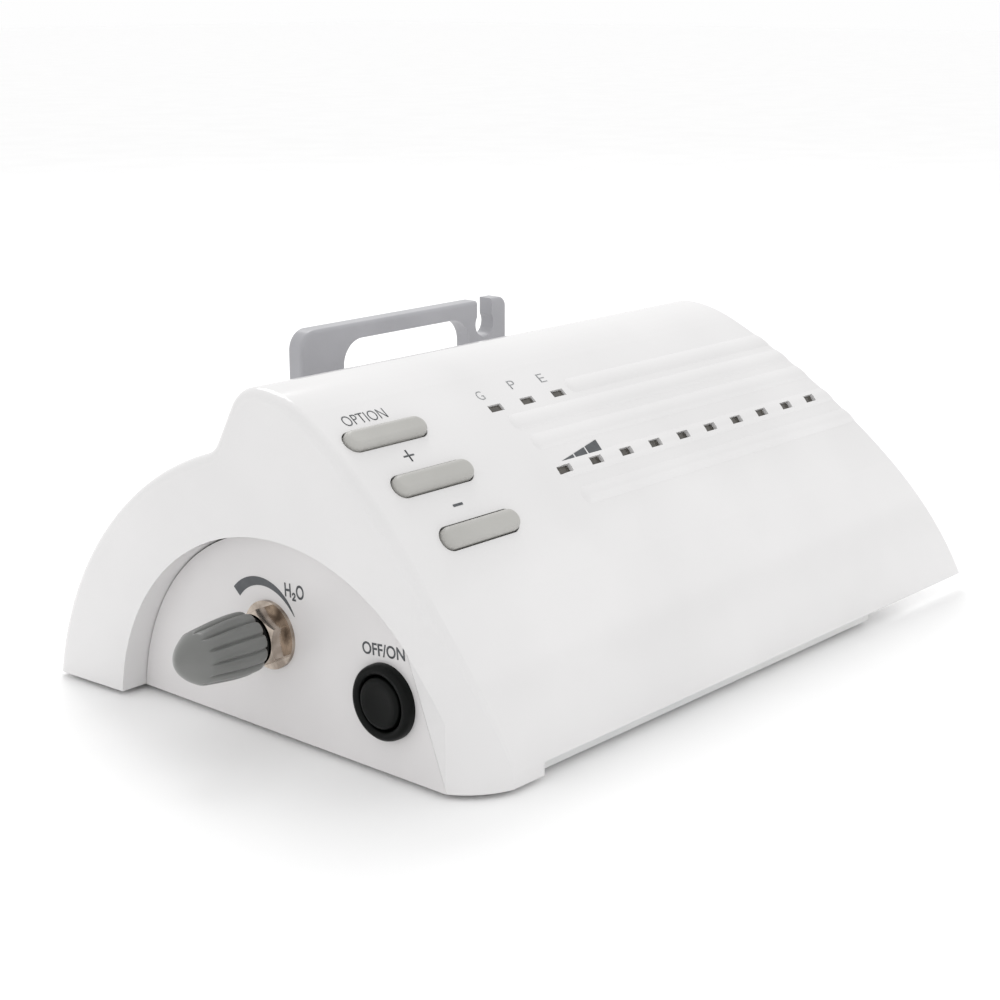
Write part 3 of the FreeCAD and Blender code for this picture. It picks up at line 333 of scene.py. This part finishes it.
def select_where(test):
    """Select the edit-mode vertices whose place passes the test."""
    mesh = bmesh.from_edit_mesh(bpy.context.object.data)
    bpy.context.tool_settings.mesh_select_mode = (True, False, False)
    for vertex in mesh.verts:
        vertex.select_set(bool(test(vertex.co)))
    mesh.select_flush(True)
    bmesh.update_edit_mesh(bpy.context.object.data)


print("modelling helpers ready")

# %% Water knob
KNOB_BASE = place((-11.9, 67.6, 27.9))
KNOB_LOBES = 12
POINTS_PER_LOBE = 10
LOBE_END, LOBE_TIP = 17.6, 3.0
LOBE_FALL, GROOVE_DEPTH = 0.45, 0.75
INSIDE_R, WALL_SHARE, HOLLOW_DEPTH = 6.3, 0.78, 3.0
knob_rings = [(0.0, 7.5), (0.4, 7.9), (2.0, 8.15), (4.5, 8.2), (7.5, 8.05), (10.5, 7.75), (13.0, 7.45),
              (15.0, 7.2), (16.2, 7.05), (17.0, 6.85), (17.6, 6.45), (18.3, 6.05), (19.4, 5.35), (20.6, 4.4),
              (21.7, 3.2), (22.5, 2.0), (23.0, 0.9), (23.15, 0.25)]

bpy.ops.mesh.primitive_circle_add(vertices=POINTS_PER_LOBE * KNOB_LOBES, radius=knob_rings[0][1] * MM,
                                  fill_type="NOTHING", location=KNOB_BASE,
                                  rotation=(0.0, math.radians(-90.0), 0.0))
bpy.ops.object.transform_apply(location=True, rotation=True)
bpy.ops.object.mode_set(mode="EDIT")
bpy.ops.mesh.select_all(action="SELECT")
for (last_along, last_r), (along, radius) in zip(knob_rings, knob_rings[1:]):
    bpy.ops.mesh.extrude_region_move(TRANSFORM_OT_translate={"value": ((last_along - along) * MM, 0.0, 0.0)})
    centre = KNOB_BASE - Vector((along * MM, 0.0, 0.0))
    ratio = radius / last_r
    bpy.ops.transform.resize(value=(1.0, ratio, ratio), center_override=centre)
bpy.ops.mesh.merge(type="CENTER")
select_where(lambda co: abs(co.x - KNOB_BASE.x) < 1e-5)
bpy.ops.mesh.extrude_region_move(TRANSFORM_OT_translate={"value": (0.0, 0.0, 0.0)})
bpy.ops.transform.resize(value=(1.0, WALL_SHARE, WALL_SHARE), center_override=KNOB_BASE)
bpy.ops.mesh.extrude_region_move(TRANSFORM_OT_translate={"value": (-HOLLOW_DEPTH * MM, 0.0, 0.0)})
bpy.ops.mesh.edge_face_add()

# Each lobe falls off towards its two grooves, and ends in a blunt tip just before the nose.
mesh = bmesh.from_edit_mesh(bpy.context.object.data)
for vertex in mesh.verts:
    along = (KNOB_BASE.x - vertex.co.x) / MM
    flat = Vector((0.0, vertex.co.y - KNOB_BASE.y, vertex.co.z - KNOB_BASE.z))
    if flat.length < INSIDE_R * MM or along > LOBE_END:
        continue
    turn = math.atan2(flat.z, flat.y) / (2.0 * math.pi) * KNOB_LOBES
    from_crest = 1.0 - 2.0 * abs(turn - round(turn))
    groove = from_crest ** 2 * LOBE_FALL + (GROOVE_DEPTH if from_crest > 0.95 else 0.0)
    fade = min(1.0, max(0.0, (LOBE_END - along) / LOBE_TIP)) ** 0.6
    flat.length -= groove * fade * MM
    vertex.co.y = KNOB_BASE.y + flat.y
    vertex.co.z = KNOB_BASE.z + flat.z
bmesh.update_edit_mesh(bpy.context.object.data)
bpy.ops.mesh.select_all(action="SELECT")
bpy.ops.mesh.normals_make_consistent(inside=False)
bpy.ops.object.mode_set(mode="OBJECT")
apply_modifier("SUBSURF", levels=2, render_levels=2)
bpy.ops.object.shade_smooth()
knob = new_piece("fluted_knob", "knob", "grey_knob", ["water_knob"])
print("knob faces", len(knob.data.polygons))

# %% [markdown]
# ## The power switch
# The switch is a round push button. A rounded bezel ring holds a dished cap, with a narrow dark gap
# between the two. Both are bodies of revolution, so one half section is drawn as a chain of points and
# spun round the switch's axis.

# %% Spin a section round an axis along X
SPIN_STEPS = 72


def spun(points, centre):
    """Spin (radius, distance out) points in millimetres about an axis along X that faces left."""
    bpy.ops.mesh.primitive_plane_add(size=0.001, location=(0.0, 0.0, 0.0))
    piece = bpy.context.object
    bpy.ops.object.mode_set(mode="EDIT")
    mesh = bmesh.from_edit_mesh(piece.data)
    bmesh.ops.delete(mesh, geom=mesh.verts[:], context="VERTS")
    chain = [mesh.verts.new(centre + Vector((-out * MM, radius * MM, 0.0))) for radius, out in points]
    for first, second in zip(chain, chain[1:]):
        mesh.edges.new((first, second))
    bmesh.update_edit_mesh(piece.data)
    bpy.ops.mesh.select_all(action="SELECT")
    bpy.ops.mesh.spin(steps=SPIN_STEPS, angle=2.0 * math.pi, center=centre, axis=(1.0, 0.0, 0.0))
    bpy.ops.mesh.select_all(action="SELECT")
    bpy.ops.mesh.remove_doubles(threshold=1e-6)
    bpy.ops.mesh.normals_make_consistent(inside=False)
    bpy.ops.object.mode_set(mode="OBJECT")
    bpy.ops.object.shade_smooth_by_angle(angle=math.radians(50.0))


SWITCH = place((-4.2, 26.5, 20.2))
bezel_section = [(7.1, -8.0), (7.1, 1.9), (7.3, 2.4), (7.8, 2.75), (8.5, 2.85), (9.1, 2.6), (9.5, 2.1),
                 (9.68, 1.4), (9.7, 0.02), (8.0, 0.02), (8.0, -8.0), (7.1, -8.0)]
spun(bezel_section, SWITCH)
bezel = new_piece("switch_bezel", "console", "black_nylon")
cap_section = [(0.0, -4.4), (6.6, -4.4), (6.6, 2.0), (6.45, 2.55), (6.0, 2.95), (5.4, 3.05), (4.2, 2.9),
               (2.6, 2.75), (1.2, 2.68), (0.0, 2.65)]
spun(cap_section, SWITCH)
cap = new_piece("switch_cap", "power_button", "black_nylon", ["power_switch_cap"])
print("switch pieces", bezel.name, cap.name)

# %% [markdown]
# ## Printed marks
# The labels are screen printed, a few hundredths of a millimetre thick. Each is made as a text curve,
# turned into a mesh, fitted to its real width and height and laid on its surface. The rising wedge over
# the lights and the tapered arc over the knob are thin sheets of the same ink.

# %% Ink and labels
ink, ink_output = new_material("dark_grey_screen_ink")
finish_surface(ink, ink_output, {"Roughness": 0.5, "IOR": 1.5}, ("#4b4e51", "#54575a"), 3.0, 0.3, 0.004)
finishes["print_ink"] = ink
pale_ink, pale_output = new_material("pale_grey_screen_ink")
finish_surface(pale_ink, pale_output, {"Roughness": 0.5, "IOR": 1.5}, ("#8f9193", "#999b9d"), 3.0, 0.3, 0.004)
finishes["pale_ink"] = pale_ink


PRINT_THICKNESS = 0.04


def printed(name, text, width, height, matrix, inked="print_ink", weight=0.0):
    """A label fitted to its width and height in millimetres. Weight makes its strokes wider or thinner."""
    bpy.ops.object.text_add()
    label = bpy.context.object
    label.data.body = text
    label.data.offset = weight
    label.data.resolution_u = 6
    bpy.ops.object.convert(target="MESH")
    label = bpy.context.object
    low = [min(v.co[axis] for v in label.data.vertices) for axis in (0, 1)]
    high = [max(v.co[axis] for v in label.data.vertices) for axis in (0, 1)]
    middle = Matrix.Translation((-(low[0] + high[0]) / 2.0, -(low[1] + high[1]) / 2.0, 0.0))
    fit = Matrix.Diagonal((width / (high[0] - low[0]), height / (high[1] - low[1]), 1.0, 1.0))
    label.data.transform(matrix @ fit @ middle)
    hook_print(label, name, inked)


def hook_print(label, name, inked):
    """Give a flat print its thickness, ink and body."""
    bpy.context.view_layer.objects.active = label
    apply_modifier("SOLIDIFY", thickness=PRINT_THICKNESS * MM, offset=1.0)
    label.name = name
    label.data.name = name
    label.data.materials.clear()
    label.data.materials.append(finishes[inked])
    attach(label, "console")
    bpy.ops.object.select_all(action="DESELECT")


SIDE_FACE_X = -4.22


def side_place(y, z, tilt=0.0):
    """The matrix that lays a flat millimetre shape on the side panel, facing left."""
    axes = Matrix(((0, 0, -1, 0), (-1, 0, 0, 0), (0, 1, 0, 0), (0, 0, 0, 1)))
    turn = Matrix.Rotation(math.radians(tilt), 4, "Z")
    return Matrix.Translation(place((SIDE_FACE_X, y, z))) @ axes @ turn @ Matrix.Scale(MM, 4)


printed("option_label", "OPTION", 14.5, 3.3, panel_place(9.6, 35.2, 0.02), "print_ink", -0.012)
printed("plus_label", "+", 3.6, 3.6, panel_place(13.8, 41.2, 0.02), "print_ink", -0.012)
printed("minus_label", "-", 3.4, 0.7, panel_place(18.9, 48.1, 0.02))
for letter, x, slope in (("G", 50.5, 35.9), ("P", 64.2, 35.4), ("E", 76.2, 35.4)):
    printed("mode_label_" + letter, letter, 2.4, 3.0, panel_place(x, slope, 0.02), "pale_ink", -0.015)
printed("water_label", "H₂O", 7.0, 4.4, side_place(58.4, 40.9, 3.0), "print_ink", 0.016)
printed("power_label", "OFF/ON", 14.4, 3.2, side_place(27.3, 32.9, 5.0), "print_ink", 0.016)

# %% Rising wedge over the level lights
def ink_sheet(name, corners, matrix):
    """A flat sheet of ink from its corner points in millimetres."""
    bpy.ops.mesh.primitive_plane_add(size=1.0, location=(0.0, 0.0, 0.0))
    sheet = bpy.context.object
    bpy.ops.object.mode_set(mode="EDIT")
    mesh = bmesh.from_edit_mesh(sheet.data)
    bmesh.ops.delete(mesh, geom=mesh.verts[:], context="VERTS")
    for quad in corners:
        mesh.faces.new([mesh.verts.new((x, y, 0.0)) for x, y in quad])
    bmesh.update_edit_mesh(sheet.data)
    bpy.ops.mesh.select_all(action="SELECT")
    bpy.ops.mesh.remove_doubles(threshold=1e-4)
    bpy.ops.mesh.normals_make_consistent(inside=False)
    bpy.ops.object.mode_set(mode="OBJECT")
    sheet.data.transform(matrix)
    hook_print(sheet, name, "print_ink")


WEDGE_LENGTH, WEDGE_HEIGHT = 17.0, 3.4


def wedge_top(x):
    """Height of the wedge's rising edge."""
    return WEDGE_HEIGHT * x / WEDGE_LENGTH


wedge_parts = [[(a, 0.0), (b, 0.0), (b, wedge_top(b)), (a, wedge_top(a) + 0.02)]
               for a, b in ((0.1, 5.6), (6.2, 11.0), (11.6, WEDGE_LENGTH))]
ink_sheet("level_wedge", wedge_parts, panel_place(61.1, 46.6, 0.03))
print("wedge pieces", len(wedge_parts))

# %% Tapered arc over the water knob
ARC_CENTRE = Vector((71.0, 28.5))
ARC_OUTER_R = 13.9
ARC_START, ARC_END, ARC_STEPS = 42.0, 155.0, 30
ARC_WIDTH = 3.1


def arc_edge(share, inner):
    """A point of the arc's outer or inner edge, flat, with the panel's left to right as X."""
    angle = math.radians(ARC_START + (ARC_END - ARC_START) * share)
    radius = ARC_OUTER_R - (ARC_WIDTH * (1.0 - share) ** 0.66 if inner else 0.0)
    return (-(radius * math.cos(angle)), radius * math.sin(angle))


arc_parts = []
for k in range(ARC_STEPS):
    a, b = k / ARC_STEPS, min((k + 1) / ARC_STEPS, 0.995)
    arc_parts.append([arc_edge(a, True), arc_edge(b, True), arc_edge(b, False), arc_edge(a, False)])
ink_sheet("water_arc", arc_parts, side_place(ARC_CENTRE.x, ARC_CENTRE.y))
print("arc pieces", len(arc_parts))

# %% [markdown]
# The two springs are coiled from a ring of wire by a screw, and each takes the place of its measured part.

# %% Springs
WIRE_SIDES, COIL_STEPS, COIL_TURNS = 10, 28, 7


def coiled_spring(name, node, axis, wire_mm):
    """A spring that fills the node's box along its axis."""
    low, high = (Vector(corner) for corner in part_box(node))
    line = Vector(axis)
    length = (high - low).dot(line)
    wire = wire_mm * MM
    across = Vector((1.0, 1.0, 1.0)) - line
    coil_radius = max((high - low) * across) / 2.0 - wire
    bpy.ops.mesh.primitive_circle_add(vertices=WIRE_SIDES, radius=wire, location=(0.0, 0.0, 0.0))
    spring = bpy.context.object
    bpy.ops.object.mode_set(mode="EDIT")
    bpy.ops.transform.rotate(value=math.pi / 2.0, orient_axis="X", center_override=(0.0, 0.0, 0.0))
    bpy.ops.transform.translate(value=(coil_radius, 0.0, 0.0))
    bpy.ops.object.mode_set(mode="OBJECT")
    apply_modifier("SCREW", axis="Z", steps=COIL_STEPS, render_steps=COIL_STEPS, iterations=COIL_TURNS,
                   angle=2.0 * math.pi, screw_offset=(length - 2.0 * wire) / COIL_TURNS)
    bpy.ops.object.mode_set(mode="EDIT")
    bpy.ops.mesh.select_all(action="SELECT")
    bpy.ops.mesh.remove_doubles(threshold=1e-7)
    bpy.ops.mesh.fill_holes(sides=0)
    bpy.ops.mesh.normals_make_consistent(inside=False)
    bpy.ops.object.mode_set(mode="OBJECT")
    middle = (low + high) / 2.0
    start = middle - line * (length / 2.0 - wire)
    turn = line.to_track_quat("Z", "Y").to_matrix().to_4x4()
    spring.data.transform(Matrix.Translation(start) @ turn)
    piece = new_piece(name, "console", "spring_steel", [node])
    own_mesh(piece)
    print(name, len(piece.data.polygons), "faces, coil radius", round(coil_radius / MM, 2))


coiled_spring("switch_coil_spring", "power_switch_spring", (1.0, 0.0, 0.0),
              0.3)
coiled_spring("plunger_coil_spring", "solenoid_spring", (0.0, 0.0, 1.0),
              0.25)
